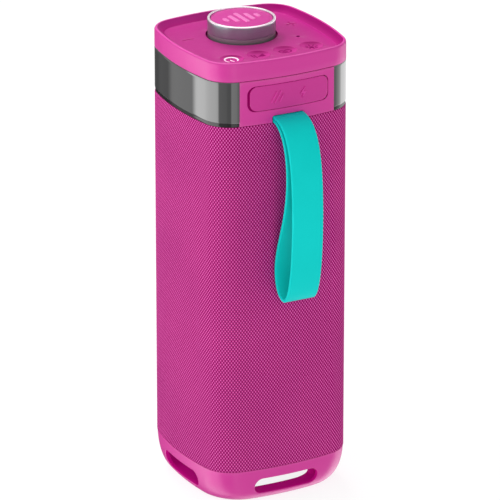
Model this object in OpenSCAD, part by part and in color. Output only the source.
// Portable shower speaker: a soft-square tower with a fabric sleeve, a smoked
// light band, a volume knob, four dished keys, a port flap and a carry strap.
// Millimetres. +Z up, origin at the centre of the foot's underside, -Y is the
// front: the face with the port flap and the strap.

/* [Body] */
// Width of the body across flats, in X and in Y
body_w = 80; // [79:0.5:81]
// Radius of the slightly bulged sides
side_r = 144.2; // [140:1:150]
// Radius of the four vertical corners
corner_r = 15.13; // [14.5:0.1:16]
// Thickness of the fabric sleeve
fabric_t = 1.15; // [0.9:0.05:1.2]

/* [Heights] */
// Top of the base housing, where the fabric starts
base_top = 18.1; // [17.9:0.1:18.3]
// Top of the fabric, where the light band starts
fabric_top = 196; // [195.9:0.1:196]
// Top of the light band, where the cap starts
band_top = 218.3; // [218.3:0.1:218.4]
// Height of the control deck
deck_z = 225; // [224.9:0.1:225.1]
// Crest of the rim round the deck
rim_z = 228; // [227.5:0.1:228.5]

/* [Base] */
// How far the base housing tucks in at the floor
base_tuck = 10.9; // [9:0.1:11.5]
// Length of each sound slot
slot_l = 34.5; // [28:0.5:35]
// Height of each sound slot
slot_h = 8.2; // [6:0.2:8.6]
// Height of the slots' centre line
slot_z = 8.6; // [8:0.1:9]
// Half-width of the opening in the floor of the base
foot_open = 26; // [25:0.1:26.1]

/* [Knob] */
// Outer radius of the volume knob
knob_r = 16.48; // [15.5:0.1:16.6]
// Distance of the knob's axis behind the body's axis
knob_y = 8.5; // [8:0.5:9]
// Top of the knob
knob_top = 233.7; // [233.4:0.1:234]

/* [Keys] */
// Distance between neighbouring keys
key_pitch = 14.3; // [14:0.1:14.6]
// Distance of the key row in front of the body's axis
key_y = 22.3; // [22:0.1:22.6]
// Radius of a key
key_r = 5.75; // [5.3:0.05:5.8]
// Depth of the dish in a key
key_dish = 1.2; // [0.5:0.1:1.4]

/* [Port flap] */
// Half-width of the block that carries the flap and the strap
block_hw = 25.45; // [25:0.05:26]
// Width of the flap
flap_w = 42; // [41.8:0.1:42.2]
// Height of the flap
flap_h = 12.2; // [12:0.1:12.3]
// Height of the flap's centre line
flap_z = 209.1; // [209:0.1:209.2]
// Thickness of the flap
flap_t = 1.5; // [1.3:0.1:1.6]
// Wall radius of the 3.5 mm audio socket
aux_r = 1.8; // [1.75:0.01:1.85]

/* [Strap] */
// Width of the strap
strap_w = 16.4; // [14:0.2:17]
// Thickness of one leg of the strap
strap_t = 1.6; // [1.4:0.1:1.6]
// How far the loop stands out from the body
strap_reach = 19.2; // [17:0.2:20]
// Height of the bottom of the loop
strap_low = 108.8; // [100:0.5:115]
// Sideways offset of the strap from the middle of the face
strap_x = -0.4; // [-1:0.1:1]

/* [Drivers] */
// Height of the two drivers' common axis
driver_z = 150; // [146:1:156]
// Outer radius of a driver's flange
driver_r = 27.5; // [27.2:0.1:27.6]

/* [Hidden] */

magenta = [0.78, 0.22, 0.56];
teal = [0.08, 0.80, 0.78];
dark = [0.12, 0.12, 0.13];
steel = [0.75, 0.76, 0.78];
board_green = [0.05, 0.30, 0.16];
cone_black = [0.16, 0.16, 0.17];
cell_blue = [0.25, 0.45, 0.75];
wire_red = [0.7, 0.1, 0.1];
fabric_magenta = [0.70, 0.10, 0.48];
led_white = [0.95, 0.95, 0.85];
reflector_grey = [0.55, 0.55, 0.56];
smoke = [0.25, 0.25, 0.26, 0.55];
chip_black = [0.08, 0.08, 0.09];
ribbon_amber = [0.75, 0.5, 0.15];
skirt_grey = [0.42, 0.36, 0.42];
ring_silver = [0.9, 0.9, 0.92];

half_w = body_w / 2;
// How far the centre of a side's arc lies beyond the body's axis
arc_shift = side_r - half_w;
gap = 0.05;      // between neighbouring pieces
overlap = 0.01;  // between joined shapes of one piece

cabinet_bottom = 15.6;
cabinet_floor = 18.4;  // top of the cabinet's floor
lid_bottom = 193.6;
lid_top = 196;
main_board_z = 205.65;
main_board_top = main_board_z + 1.5;
key_board_z = 216.6;
key_board_top = key_board_z + 1.4;
parts_z = key_board_top + gap;  // foot of the parts on the key board
small_shank = 0.95;             // shank radius of the small screws

// Places in (x, y): posts under the cap, columns in the base, standoffs under
// the main board, posts over the key board, keys
post_xy = [[29, -10], [-29, -10], [27.5, 21.5], [-27.5, 21.5]];
column_xy = [for (x = [-23.5, 23.5], y = [-23.5, 23.5]) [x, y]];
stand_xy = [for (y = [20, -12], x = [17, -17]) [x, y]];
keypost_xy = [for (y = [15, -11.5], x = [15, -15]) [x, y]];
key_xy = [for (k = [0:3]) [(k - 1.5) * key_pitch, -key_y]];

// ---------------------------------------------------------------- outlines
// Closed outline of a square with bulged sides: half-width, side radius,
// corner radius, facets a side and facets a corner.
function soft_square(half, arc_r, round_r, arc_n, round_n) =
    let (shift = arc_r - half,
         centre = (-shift + sqrt(2 * pow(arc_r - round_r, 2) - shift * shift)) / 2,
         join = atan2(centre, centre + shift))
    [for (q = [0:3], k = [0:arc_n + round_n - 1])
        let (on_arc = k < arc_n,
             turn = on_arc ? -join + 2 * join * k / arc_n
                 : join + (90 - 2 * join) * (k - arc_n) / round_n,
             x = on_arc ? arc_r * cos(turn) - shift : centre + round_r * cos(turn),
             y = on_arc ? arc_r * sin(turn) : centre + round_r * sin(turn))
        [x * cos(90 * q) - y * sin(90 * q), x * sin(90 * q) + y * cos(90 * q)]];
function body_outline(inset) =
    soft_square(half_w - inset, side_r - inset, corner_r - inset, 12, 9);
// Distance of the inset body's face from the centre plane, at offset x.
function face_y(x, inset) = sqrt(pow(side_r - inset, 2) - x * x) - arc_shift;

// ------------------------------------------------------------ basic shapes
// Solid with the body's outline, inset.
module slab(inset, bottom, top) {
    translate([0, 0, bottom])
        linear_extrude(top - bottom) polygon(body_outline(inset));
}
// Wall between two insets of the body's outline.
module tube(outer, inner, bottom, top) {
    difference() {
        slab(outer, bottom, top);
        slab(inner, bottom - 1, top + 1);
    }
}
// Obround in the XZ plane, extruded along Y.
module obround_y(length, height, front, back) {
    translate([-(length - height) / 2, front, -height / 2])
        cube([length - height, back - front, height]);
    for (side = [-1, 1])
        translate([side * (length - height) / 2, front, 0]) rotate([-90, 0, 0])
            cylinder(h = back - front, r = height / 2, $fn = 48);
}
// Rectangle with rounded corners in the XZ plane, extruded along Y.
module plate_y(length, height, round_r, front, back) {
    depth = back - front;
    translate([-length / 2 + round_r, front, -height / 2])
        cube([length - 2 * round_r, depth, height]);
    translate([-length / 2, front, -height / 2 + round_r])
        cube([length, depth, height - 2 * round_r]);
    for (x = [-1, 1], z = [-1, 1])
        translate([x * (length / 2 - round_r), front, z * (height / 2 - round_r)])
            rotate([-90, 0, 0]) cylinder(h = depth, r = round_r, $fn = 40);
}
module rod(radius, bottom, top) {
    translate([0, 0, bottom]) cylinder(h = top - bottom, r = radius, $fn = 48);
}
// Pan-head screw pointing up: the head's seat and the shank's tip are heights.
module screw(shank_r, head_r, head_h, seat, tip) {
    rod(head_r, seat - head_h, seat);
    rod(shank_r, seat - overlap, tip);
}
module screw_down(shank_r, head_r, head_h, seat, tip) {
    mirror([0, 0, 1]) screw(shank_r, head_r, head_h, -seat, -tip);
}
// Children at each (x, y) place.
module at(places) {
    for (place = places) translate([place[0], place[1], 0]) children();
}
// Children at four places round the Z axis, the first at angle start.
module four_around(radius, start = 0) {
    for (k = [0:3]) rotate([0, 0, start + 90 * k])
        translate([radius, 0, 0]) children();
}

// -------------------------------------------------------------------- base
base_wall = 2.2;
base_floor = 3;
foot_outer = 28.15;  // half-widths of the foot ring
foot_inner = 26.95;
foot_round = 14.4;   // half-width less corner radius, for the foot ring
foot_gap = 0.15;     // between the foot ring and its groove
tuck_h = 24.53;      // height at which the tuck ends
tuck_power = 3.162;  // exponent of the tuck's superellipse

// Tuck of the base at height z, and the corner radius that goes with it.
function tuck(z) = base_tuck
    * (1 - pow(1 - pow(1 - min(z / tuck_h, 1), tuck_power), 1 / tuck_power));
function tuck_r(z) = corner_r - tuck(z)
    + 0.946 * base_tuck * pow(1 - min(z / tuck_h, 1), 2);
// Hull of thin layers, closer together near the floor.
module base_form(inset, bottom, top, layers) {
    hull() for (k = [0:layers])
        let (z = bottom + (top - bottom) * pow(k / layers, 1.8))
        translate([0, 0, z - (k == layers ? 0.01 : 0)]) linear_extrude(0.01)
            polygon(soft_square(half_w - tuck(z) - inset,
                side_r - tuck(z) - inset, tuck_r(z) - inset, 6, 7));
}
function foot_line(half, round_r) =
    soft_square(half, half + arc_shift, round_r, 6, 7);
// Flat outline of the foot ring, widened by extra on both edges.
module foot_ring(extra) {
    outer = foot_outer + extra;
    inner = foot_inner - extra;
    difference() {
        polygon(foot_line(outer, outer - foot_round));
        polygon(foot_line(inner, inner - foot_round));
    }
}
module base_housing() {
    color(magenta) difference() {
        union() {
            difference() {
                base_form(0, 0.25, base_top, 9);
                base_form(base_wall, base_floor, base_top + 0.6, 6);
            }
            at(column_xy) rod(3.4, base_floor - 0.1, cabinet_bottom - 0.2);
        }
        // sound slots through all four sides
        for (turn = [0, 90]) translate([0, 0, slot_z]) rotate([0, 0, turn])
            obround_y(slot_l, slot_h, -50, 50);
        // opening under the radiator
        translate([0, 0, -1]) linear_extrude(5) polygon(foot_line(foot_open, 16));
        // groove for the foot ring
        translate([0, 0, -1]) linear_extrude(2.05) foot_ring(foot_gap);
        at(column_xy) rod(1.45, 7.5, 20);
    }
}
module foot_pad() {
    color(dark) linear_extrude(1) foot_ring(0);
}
// The base's screws go in from above, through the floor of the cabinet.
floor_boss_top = 21;
module base_screws() {
    color(steel) at(column_xy) screw_down(1.4, 2.4, 2, floor_boss_top, 8);
}

// --------------------------------------- surrounds and passive radiator
lip_r = 17.6;    // inner radius of a surround
roll_r = 1.95;   // radius of its half-round roll
roll_rise = roll_r - 0.2;
rubber_t = 0.6;
radiator_screw_r = 24.2;  // distance of the radiator's screws from its axis
clamp_bottom = 19.1;
clamp_top = 21.1;

// Surround out to radius rim_r, its roll bulging to +Z.
module surround(rim_r) {
    roll_mid = lip_r + roll_r;
    inner_r = roll_r - rubber_t;
    rotate_extrude($fn = 96) polygon(concat(
        [[lip_r, 0], [lip_r, rubber_t]],
        [for (k = [1:11])
            [roll_mid - roll_r * cos(15 * k), rubber_t + roll_rise * sin(15 * k)]],
        [[roll_mid + roll_r, rubber_t], [rim_r, rubber_t], [rim_r, 0],
            [roll_mid + inner_r, 0]],
        [for (k = [11:-1:1])
            [roll_mid - inner_r * cos(15 * k), roll_rise * sin(15 * k)]],
        [[roll_mid - inner_r, 0]]));
}
module radiator_surround() {
    color(dark) difference() {
        translate([0, 0, clamp_bottom - gap]) mirror([0, 0, 1]) surround(26.2);
        four_around(radiator_screw_r) rod(1.1, 15, 22);
    }
}
module radiator_plate() {
    color(steel) union() {
        rod(17.5, 17.8, 19.4);
        rod(9, 19.4 - overlap, 20.6);
    }
}
module radiator_clamp() {
    color(dark) difference() {
        difference() {
            rod(26.5, clamp_bottom, clamp_top);
            rod(21.8, clamp_bottom - 1, clamp_top + 1);
        }
        four_around(radiator_screw_r) rod(1.2, 18, 22);
    }
}
module radiator_screws() {
    color(steel) four_around(radiator_screw_r)
        screw_down(small_shank, 1.8, 1.2, clamp_top + gap, 16.6);
}

// ----------------------------------------------------------------- cabinet
cabinet_outer = 3.1;    // insets of the cabinet's wall
cabinet_inner = 5.3;
driver_screw_r = 25.8;  // distance of a driver's screws from its axis
wire_y = 24;            // the cable and the speaker wires rise at this y
wire_x = 8;

// Lays +Z on the drivers' axis, pointing out of the left (-1) or right (1) side.
module driver_axis(side) {
    translate([0, 0, driver_z]) rotate([0, side * 90, 0]) children();
}
// The battery holder's four screw axes, +Z turned to the back.
module at_holder_screws() {
    for (x = [-18, 18], z = [34, 91])
        translate([x, 0, z]) rotate([-90, 0, 0]) children();
}
module cabinet() {
    color(dark) difference() {
        union() {
            tube(cabinet_outer, cabinet_inner, cabinet_bottom, lid_bottom - 0.1);
            slab(cabinet_inner - 0.1, cabinet_bottom, cabinet_floor);
            at(column_xy) rod(3.2, cabinet_floor - 0.1, floor_boss_top);
            // flat bosses behind the side walls, for the drivers
            for (side = [-1, 1]) intersection() {
                slab(4, 100, 190);
                driver_axis(side) rod(28.3, 31.5, 36);
            }
            // bosses on the back wall, for the battery holder
            at_holder_screws() rod(2.6, 31.6, 34.5);
        }
        // driver openings and screw holes
        driver_axis(1) rod(24, -45, 45);
        for (side = [-1, 1]) driver_axis(side)
            four_around(driver_screw_r, 45) rod(1, 30, 34.2);
        // radiator opening and screw holes
        rod(21.8, 10, 18.5);
        four_around(radiator_screw_r) rod(1, 16.4, 19);
        at(column_xy) rod(1.5, 15, 25);
        at_holder_screws() rod(1, 31, 35.5);
    }
}
module cabinet_lid() {
    color(dark) difference() {
        union() {
            slab(cabinet_outer, lid_bottom, lid_top);
            // lip inside the cabinet's wall
            tube(5.5, 7, lid_bottom - 2, lid_bottom + 0.1);
            at(stand_xy) rod(2.5, lid_top - 0.1, main_board_z - 0.1);
        }
        at(post_xy) rod(1.5, 190, 198);
        at(stand_xy) rod(1, 197, 206);
        // holes for the cable and the wires
        translate([0, wire_y, 0]) rod(1.7, 190, 198);
        at([[-wire_x, wire_y], [wire_x, wire_y]]) rod(1, 190, 198);
        // notch in the top of the front edge
        translate([0, -45, lid_top - 0.5]) cube([27, 21, 1.5], center = true);
    }
}

// ----------------------------------------------------------------- drivers
// A driver is drawn along +Z, its flange's outer face at z = 0, and laid on X.
flange_x = 31.4;
flange_t = 1.2;
// Profiles in (radius, z)
basket_profile = [[21.4, 0], [driver_r, 0], [driver_r, -flange_t],
    [22.6, -flange_t], [16.4, -12], [16.4, -13.2], [10.6, -13.2],
    [10.6, -12], [15.6, -12], [21.4, -1.4]];
magnet_profile = [[0, -13.6], [9.2, -13.6], [9.2, -24], [11.2, -24],
    [11.2, -16.2], [10.4, -16.2], [10.4, -13.3], [19, -13.3], [19, -16],
    [21, -16], [21, -24], [19.5, -24], [19.5, -26.4], [0, -26.4]];
cone_profile = [[17.5, 0.6], [17.5, -0.4], [9.95, -8.6], [9.95, -20],
    [9.6, -20], [9.6, -8.2], [9.2, -7.6], [7, -5.4], [4, -4.1], [0, -3.6],
    [0, -3], [4, -3.5], [7.4, -4.9], [9.9, -7.4], [16.9, 0.2], [16.9, 0.6]];

module on_side(side) {
    driver_axis(side) translate([0, 0, flange_x]) children();
}
module basket(side) {
    color(dark) on_side(side) difference() {
        rotate_extrude($fn = 96) polygon(basket_profile);
        four_around(driver_screw_r, 45) rod(1.15, -2, 1);
        // six windows
        for (k = [0:5]) rotate([0, 0, 60 * k]) translate([19, 0, -6.5])
            cube([12, 8, 6], center = true);
    }
}
module magnet(side) {
    color(steel) on_side(side) rotate_extrude($fn = 96) polygon(magnet_profile);
}
module cone(side) {
    color(cone_black) on_side(side)
        rotate_extrude($fn = 96) polygon(cone_profile);
}
module driver_surround(side) {
    color(dark) on_side(side) translate([0, 0, gap]) surround(23.6);
}
module left_basket() { basket(-1); }
module left_magnet() { magnet(-1); }
module left_surround() { driver_surround(-1); }
module left_cone() { cone(-1); }
module right_basket() { basket(1); }
module right_magnet() { magnet(1); }
module right_surround() { driver_surround(1); }
module right_cone() { cone(1); }
module driver_screws() {
    color(steel) for (side = [-1, 1]) on_side(side)
        four_around(driver_screw_r, 45)
            screw(small_shank, 1.6, 1.3, -flange_t - gap, 2.4);
}

// ----------------------------------------------------------------- battery
cell_xy = [[-10, 19], [10, 19]];
cell_top = 94.4;
holder_w = 44;
holder_front = 8;
holder_back = 31.5;
holder_bottom = 27;
holder_h = 71.4;
holder_end_t = 2.6;
holder_back_t = 2.9;

module battery_cells() {
    color(cell_blue) at(cell_xy) {
        rod(9.2, 30, cell_top);
        rod(3, cell_top - overlap, cell_top + 1);
    }
}
module battery_holder() {
    color(dark) difference() {
        union() {
            for (z = [0, holder_h - holder_end_t])
                translate([-holder_w / 2, holder_front, holder_bottom + z])
                    cube([holder_w, holder_back - holder_front, holder_end_t]);
            translate([-holder_w / 2, holder_back - holder_back_t, holder_bottom])
                cube([holder_w, holder_back_t, holder_h]);
            for (x = [-holder_w / 2, holder_w / 2 - 2])
                translate([x, 10, holder_bottom]) cube([2, 20, holder_h]);
        }
        at(cell_xy) rod(9.6, 29.7, 95.7);
        at_holder_screws() rod(1.2, 26, 35);
    }
}
module holder_screws() {
    color(steel) at_holder_screws()
        screw(small_shank, 1.5, 0.7, holder_back - holder_back_t - gap, 33.9);
}
module battery_board() {
    color(board_green) translate([-18, 12, holder_bottom + holder_h + 0.1])
        cube([36, 15, 1.2]);
}
// Cable with a plug at each end.
module battery_cable() {
    color(dark) translate([0, wire_y, 0]) {
        rod(1.5, 104, 202.2);
        translate([-3, -2, 99.8]) cube([6, 4, 4.3]);
        translate([-3, -2, 202.1]) cube([6, 4, 3.4]);
    }
}
module speaker_wires() {
    color(wire_red) at([[-wire_x, wire_y], [wire_x, wire_y]])
        rod(0.8, 152, 205.4);
}

// ------------------------------------------------------- shell and sleeve
grille_pitch = 5.4;
module grille_shell() {
    color(dark) difference() {
        tube(1.3, 2.9, base_top + 0.2, fabric_top - 0.1);
        // nine slots through each side, in front of the drivers
        for (k = [-4:4]) translate([0, 0, driver_z + grille_pitch * k])
            rotate([0, 0, 90]) obround_y(44, 3, -45, 45);
    }
}
module fabric_sleeve() {
    color(fabric_magenta) tube(0, fabric_t, base_top + 0.1, fabric_top - gap);
}

// -------------------------------------------------------------- light band
led_board_z = 197;
led_board_top = 198.2;
led_pitch = 11;
led_size = [1.4, 3, 1];
inner_gap_hw = 27.5;  // half-width of the gap in the LED board and reflector
band_inner = 2.3;     // inset of the band's inner face

// Cutter for the gap at the front.
module front_gap(half) {
    translate([-half, -60, 180]) cube([2 * half, 32, 60]);
}
module led_board() {
    color(board_green) difference() {
        tube(2.9, 7.3, led_board_z, led_board_top);
        front_gap(inner_gap_hw);
    }
}
// Five LEDs along each of the right, back and left sides.
module leds() {
    color(led_white) for (k = [0:2], j = [-2:2]) rotate([0, 0, 90 * k])
        translate([face_y(led_pitch * j, 3.6) - led_size[0],
            led_pitch * j - led_size[1] / 2, led_board_top + gap]) cube(led_size);
}
module light_reflector() {
    color(reflector_grey) difference() {
        tube(5.4, 6.4, led_board_top + 0.2, 217.9);
        front_gap(inner_gap_hw);
    }
}
module light_band() {
    color(smoke) difference() {
        union() {
            tube(0, band_inner, fabric_top + 2.05, band_top - gap);
            // ledge over the fabric
            tube(0.28, band_inner, fabric_top + gap, fabric_top + 2.1);
        }
        front_gap(block_hw + 0.1);
    }
}

// -------------------------------------------------- port block and sockets
flap_x = 0.6;
fit = 0.25;         // round the flap and beside the strap
finger_gap = 1.05;  // extra room at the flap's left end
hinge_xy = [20.6, -38.03];
aux_x = -6.5;
aux_outer_r = 2.9;
usb_x = 7.4;
usb_z = flap_z - 0.25;
usb_l = 9;
usb_h = 3.2;
usb_wall = 0.3;
socket_fit = 0.2;
socket_front = -35.3;
aux_box = [6.6, 13.8, 6];
lip_l = 27;         // sealing lip behind the flap
lip_h = 7.2;
strap_pin_r = 0.8;

// Axis of the audio socket, +Z turned to the back.
module aux_axis() {
    translate([aux_x, 0, flap_z]) rotate([-90, 0, 0]) children();
}
// Axis of the strap's pin, +Z turned to the right.
module strap_pin_axis() {
    translate([strap_x, -37.2, 197.75]) rotate([0, 90, 0]) children();
}
module port_block() {
    color(magenta) difference() {
        intersection() {
            slab(0, fabric_top + 0.1, band_top - gap);
            translate([-block_hw, -50, 190]) cube([2 * block_hw, 17, 40]);
        }
        // recess that the flap lies in, with a finger gap at its left end
        difference() {
            translate([flap_x, 0, flap_z]) union() {
                translate([-finger_gap / 2, 0, 0])
                    plate_y(flap_w + 2 * fit + finger_gap, flap_h + 2 * fit,
                        4.2, -45, -33.5);
                translate([10.25, 0, 0])
                    plate_y(22, flap_h + 2 * fit, 3.4, -45, -33.5);
            }
            slab(2.05, 190, 230);
        }
        // room for the flap's hinged end to turn
        translate([18.6, -37, flap_z - 3.5]) cube([3.1, 1, 7]);
        // pocket behind the flap, and the two socket openings
        translate([0, 0, flap_z]) plate_y(28, 8.2, 2, -45, -35.6);
        aux_axis() rod(aux_outer_r + socket_fit, -45, -30);
        translate([usb_x, 0, usb_z])
            obround_y(usb_l + 2 * socket_fit, usb_h + 2 * socket_fit, -45, -30);
        // slot for the strap, open towards the fabric
        translate([strap_x - strap_w / 2 - fit, -45, 190])
            cube([strap_w + 2 * fit, 9.6, 9.7]);
        // blind sockets for the strap's pin
        strap_pin_axis() rod(strap_pin_r + gap, -11.5, 11.5);
        // holes for the flap's hinge pin
        at([hinge_xy]) rod(0.32, 200.4, 217.6);
    }
}
// The flap: a curved plate with a shallow sealing lip; it turns about a
// vertical line at its right end.
module port_flap() {
    color(magenta) difference() {
        union() {
            intersection() {
                tube(gap, gap + flap_t, 195, 225);
                translate([flap_x, 0, flap_z])
                    plate_y(flap_w, flap_h, 4, -45, -33.5);
            }
            // ends of the lip's block that lie outside the 0.5 mm inset
            difference() {
                translate([0, 0, flap_z])
                    plate_y(lip_l, lip_h, 1.8, -39, -36.8);
                slab(0.5, 190, 230);
            }
            // sealing lip
            translate([0, 0, flap_z]) difference() {
                plate_y(lip_l, lip_h, 1.8, -38.9, -36.8);
                plate_y(lip_l - 2, lip_h - 2, 1, -50, -30);
            }
        }
        at([hinge_xy]) rod(0.35, 200, 220);
    }
}
module flap_pin() {
    color(steel) at([hinge_xy]) rod(0.3, 200.5, 217.5);
}
module usb_socket() {
    color(steel) difference() {
        union() {
            translate([usb_x, 0, usb_z])
                obround_y(usb_l, usb_h, socket_front, -28);
            // foot on the main board
            translate([usb_x - 4, -32, main_board_top + 0.1]) cube([8, 4, 1.2]);
        }
        // cavity, less the tongue
        difference() {
            translate([usb_x, 0, usb_z])
                obround_y(usb_l - 2 * usb_wall, usb_h - 2 * usb_wall, -36, -28.6);
            translate([usb_x - 3, -34.8, usb_z - 0.35]) cube([6, 8, 0.7]);
        }
    }
}
module aux_socket() {
    color(dark) difference() {
        union() {
            translate([aux_x - aux_box[0] / 2, -32.8, flap_z - aux_box[2] / 2])
                cube(aux_box);
            aux_axis() rod(aux_outer_r, socket_front, -32.7);
        }
        aux_axis() rod(aux_r, -36, -20.3);
    }
}

// ------------------------------------------------------------------- strap
// The strap's middle line, in (y, z): out of the block along the upper leg,
// down to the bottom of the loop, back up the inner leg into the block.
exit_y = -36;
bend_y = -39;  // where the straight ends in the block meet the curves
upper_z = fabric_top + 2.65;
inner_z = upper_z - strap_t - 0.08;
outermost = [-half_w - strap_reach, 152];
lowest = [-half_w - 9.5, strap_low];
nearest = [-half_w - 1.8, strap_low + 12.7];
bow = [-half_w - 13.3, 171];
// Cubic Bezier curves, four control points each
strap_curves = [
    [[bend_y, upper_z], [-54.5, upper_z], outermost + [0, 30], outermost],
    [outermost, outermost - [0, 26], lowest - [6, 0], lowest],
    [lowest, lowest + [4.5, 0], nearest - [0, 7], nearest],
    [nearest, nearest + [0, 14], bow - [0, 22], bow],
    [bow, bow + [0, 17], [-46.5, inner_z - 0.5], [bend_y, inner_z]]];
function bezier(points, t) = points[0] * pow(1 - t, 3)
    + points[1] * 3 * t * pow(1 - t, 2)
    + points[2] * 3 * t * t * (1 - t) + points[3] * pow(t, 3);
strap_mid = concat([[exit_y, upper_z]],
    [for (curve = strap_curves, k = [0:9]) bezier(curve, k / 10)],
    [[bend_y, inner_z], [exit_y, inner_z]]);
strap_last = len(strap_mid) - 1;
function mid_normal(k) =
    let (along = strap_mid[min(k + 1, strap_last)] - strap_mid[max(k - 1, 0)])
    [-along[1], along[0]] / norm(along);
function strap_edge(k, side) =
    strap_mid[k] + side * strap_t / 2 * mid_normal(k);
module strap_band() {
    translate([strap_x + strap_w / 2, 0, 0]) rotate([0, -90, 0])
        rotate([0, 0, 90]) mirror([0, 1, 0]) linear_extrude(strap_w)
            polygon(concat([for (k = [0:strap_last]) strap_edge(k, 1)],
                [for (k = [strap_last:-1:0]) strap_edge(k, -1)]));
}
// The strap flexes across a sloping cut line just outside the block.
flex_yz = [-50.2, 195.35];
flex_angle = 43.5;
// Half-space on the block's side (1) or the loop's side (-1) of the cut.
module flex_half(side) {
    translate([0, flex_yz[0], flex_yz[1]]) rotate([flex_angle, 0, 0])
        translate([-20, side > 0 ? gap : -150 - gap, -150])
            cube([40, 150, 300]);
}
module strap_root() {
    color(teal) difference() {
        union() {
            intersection() {
                strap_band();
                flex_half(1);
            }
            // eye round the pin
            strap_pin_axis() rod(1.55, -strap_w / 2, strap_w / 2);
        }
        strap_pin_axis() rod(strap_pin_r + gap, -20, 20);
    }
}
module strap_loop() {
    color(teal) intersection() {
        strap_band();
        flex_half(-1);
    }
}
module strap_pin() {
    color(steel) strap_pin_axis() rod(strap_pin_r, -11.2, 11.2);
}

// -------------------------------------------------------------- electronics
// Flat chips on the main board: x, y, width, depth, height
chips = [[-6, -2, 12, 12, 1.2], [-19, -7, 10, 14, 2], [10, -4, 9, 9, 1]];
mic_xy = [22.2, -7.5];

module main_board() {
    color(board_green) difference() {
        translate([-21, -32.6, main_board_z])
            cube([42, 59.6, main_board_top - main_board_z]);
        // cut-out round the audio socket
        translate([aux_x - 3.7, -34, 200]) cube([7.4, 15.4, 10]);
        at(stand_xy) rod(1.2, 200, 210);
    }
}
module board_chips() {
    color(chip_black) translate([0, 0, main_board_top + gap]) {
        for (chip = chips) translate([chip[0], chip[1], 0])
            cube([chip[2], chip[3], chip[4]]);
        // round cans
        for (x = [9, 15], y = [-16, -22]) translate([x, y, 0])
            cylinder(h = 5, r = 2.4, $fn = 32);
    }
}
module key_board() {
    color(board_green) difference() {
        translate([-25.5, -27, key_board_z])
            cube([51, 46, key_board_top - key_board_z]);
        at(keypost_xy) rod(1.2, 210, 220);
    }
}
module key_switches() {
    color(steel) at(key_xy) union() {
        translate([-3, -3, parts_z]) cube([6, 6, 2.6]);
        rod(1.7, parts_z + 2.59, 221.3);
    }
}
module microphone() {
    color(steel) translate([mic_xy[0] - 2, mic_xy[1] - 2, parts_z])
        cube([4, 4, 1.2]);
}
module board_ribbon() {
    color(ribbon_amber) translate([-6, 17.3, main_board_top + 0.1])
        cube([12, 0.4, key_board_z - main_board_top - 0.2]);
}
module board_screws() {
    color(steel) {
        at(stand_xy)
            screw_down(small_shank, 1.9, 1.2, main_board_top + gap, 198.5);
        at(keypost_xy) screw(small_shank, 1.9, 1.2, key_board_z - gap, 221);
    }
}

// -------------------------------------------------------------------- knob
shaft_r = 3;
bore_r = shaft_r + gap;
skirt_inner_r = 14.4;
disc_seat_r = 15.3;  // inner radius of the ring round the disc
ring_z = knob_top - 1.45;
disc_top = knob_top - 0.6;
bar_t = 0.45;

module at_knob() {
    translate([0, knob_y, 0]) children();
}
module encoder_body() {
    color(steel) at_knob() difference() {
        union() {
            translate([-5.8, -5.8, parts_z]) cube([11.6, 11.6, 4.2]);
            rod(3.5, 222.2, 226.2);
        }
        rod(bore_r, 220, 227);
    }
}
module encoder_shaft() {
    color(steel) at_knob() difference() {
        rod(shaft_r, 220.1, 230.2);
        // flat at the back
        translate([-5, 1.9, 227]) cube([10, 5, 5]);
    }
}
module knob_skirt() {
    color(skirt_grey) at_knob() difference() {
        union() {
            rotate_extrude($fn = 128) polygon([[skirt_inner_r, deck_z - 0.9],
                [knob_r - 0.25, deck_z - 0.9], [knob_r, deck_z - 0.65],
                [knob_r, ring_z - gap], [disc_seat_r, ring_z - gap],
                [disc_seat_r, knob_top - 2.6], [0, knob_top - 2.6],
                [0, deck_z + 3.8], [skirt_inner_r, deck_z + 3.8]]);
            rod(5.2, 226.5, 229.2);
        }
        rod(bore_r, 226, 230.4);
    }
}
module knob_ring() {
    color(ring_silver) at_knob()
        rotate_extrude($fn = 128) polygon([[disc_seat_r, ring_z],
            [knob_r, ring_z], [knob_r, knob_top - 0.4],
            [knob_r - 0.4, knob_top], [disc_seat_r + 0.4, knob_top],
            [disc_seat_r, knob_top - 0.4]]);
}
module knob_disc() {
    disc_r = disc_seat_r - 0.2;
    color(magenta) at_knob() union() {
        rotate_extrude($fn = 128) polygon([[0, knob_top - 2.55],
            [disc_r, knob_top - 2.55], [disc_r, disc_top - 0.4],
            [disc_r - 0.4, disc_top], [0, disc_top]]);
        // five raised bars with round ends, a plain sign for sound
        for (k = [-2:2]) let (reach = 5.6 - 2.2 * abs(k))
            translate([3.7 * k, 0, disc_top - 0.1]) {
                translate([-1, -reach, 0]) cube([2, 2 * reach, bar_t]);
                for (side = [-1, 1]) translate([0, side * reach, 0])
                    cylinder(h = bar_t, r = 1, $fn = 32);
            }
    }
}

// --------------------------------------------------------------- keys, cap
key_bottom = 221.95;
key_flange_r = 6.7;
key_flange_top = 222.5;
deck_under = deck_z - 2.4;
// Sunk volume marks, a minus and a plus: x, y, width, length
volume_marks = [[-29.8, 12.4, 6.4, 0.8], [24.9, 10.2, 6.4, 0.8],
    [27.7, 7.4, 0.8, 6.4]];

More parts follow.
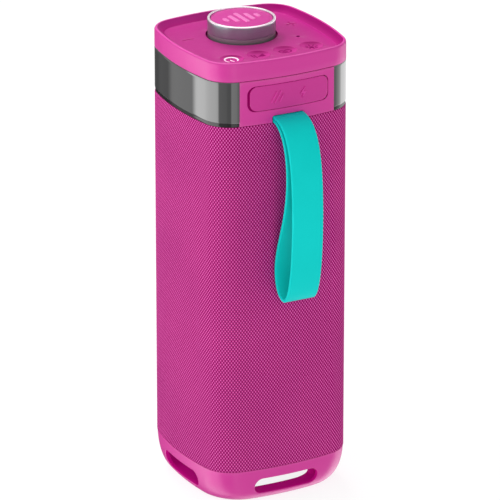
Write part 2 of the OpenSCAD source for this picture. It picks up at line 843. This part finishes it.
// Key number k from the left: a flange, a round stem and a dished top.
module key_cap(k) {
    key_top = deck_z - gap;
    dish_r = key_r - 0.3;
    color(magenta) at([key_xy[k]]) rotate_extrude($fn = 96) polygon(concat(
        [[0, key_bottom], [key_flange_r, key_bottom],
            [key_flange_r, key_flange_top], [key_r, key_flange_top],
            [key_r, key_top - 0.15], [key_r - 0.15, key_top]],
        [for (i = [0:6]) let (radius = dish_r * (1 - i / 6))
            [radius, key_top - key_dish * (1 - pow(radius / dish_r, 2))]]));
}
module power_key() { key_cap(0); }
module play_key() { key_cap(1); }
module link_key() { key_cap(2); }
module light_key() { key_cap(3); }
module top_cap() {
    color(magenta) difference() {
        union() {
            difference() {
                hull() {
                    slab(0, band_top + 0.3, rim_z - 1.1);
                    slab(0.3, rim_z - 1.1, rim_z - 0.45);
                    slab(1.1, rim_z - 0.4, rim_z);
                }
                // sloping inside of the rim, down to the deck
                hull() {
                    slab(5.1, deck_z, deck_z + 0.01);
                    slab(1.3, rim_z + 0.02, rim_z + 0.03);
                }
                slab(2.4, band_top - 1, deck_under);
            }
            at(post_xy) rod(2.8, lid_top + 0.15, deck_under + 0.1);
            at(keypost_xy) rod(2, parts_z, deck_under + 0.1);
        }
        at(key_xy) rod(key_r + 0.1, 215, 230);
        at_knob() rod(3.7, 215, 230);
        // shallow well that the knob's foot turns in
        translate([0, knob_y, deck_z - 1.2])
            cylinder(h = 5, r = 17.7, $fn = 128);
        // microphone hole
        at([mic_xy]) rod(0.7, 215, 230);
        at(post_xy) rod(1.25, 195, 206);
        at(keypost_xy) rod(1, 215, 221.6);
        for (mark = volume_marks) translate([mark[0], mark[1], deck_z - 0.35])
            cube([mark[2], mark[3], 1]);
    }
}
module cap_gasket() {
    color(dark) tube(0.45, band_inner, band_top, band_top + 0.25);
}
module cap_screws() {
    color(steel) at(post_xy) screw(1.2, 2.5, 2, lid_bottom - gap, 205);
}

base_housing();
foot_pad();
base_screws();
radiator_surround();
radiator_plate();
radiator_clamp();
radiator_screws();
cabinet();
left_basket();
left_magnet();
left_surround();
left_cone();
right_basket();
right_magnet();
right_surround();
right_cone();
driver_screws();
battery_cells();
battery_holder();
battery_board();
battery_cable();
speaker_wires();
holder_screws();
cabinet_lid();
grille_shell();
fabric_sleeve();
led_board();
leds();
light_reflector();
light_band();
port_block();
port_flap();
flap_pin();
usb_socket();
aux_socket();
strap_root();
strap_loop();
strap_pin();
main_board();
board_chips();
key_board();
key_switches();
microphone();
board_ribbon();
board_screws();
encoder_body();
encoder_shaft();
knob_skirt();
knob_ring();
knob_disc();
power_key();
play_key();
link_key();
light_key();
top_cap();
cap_gasket();
cap_screws();
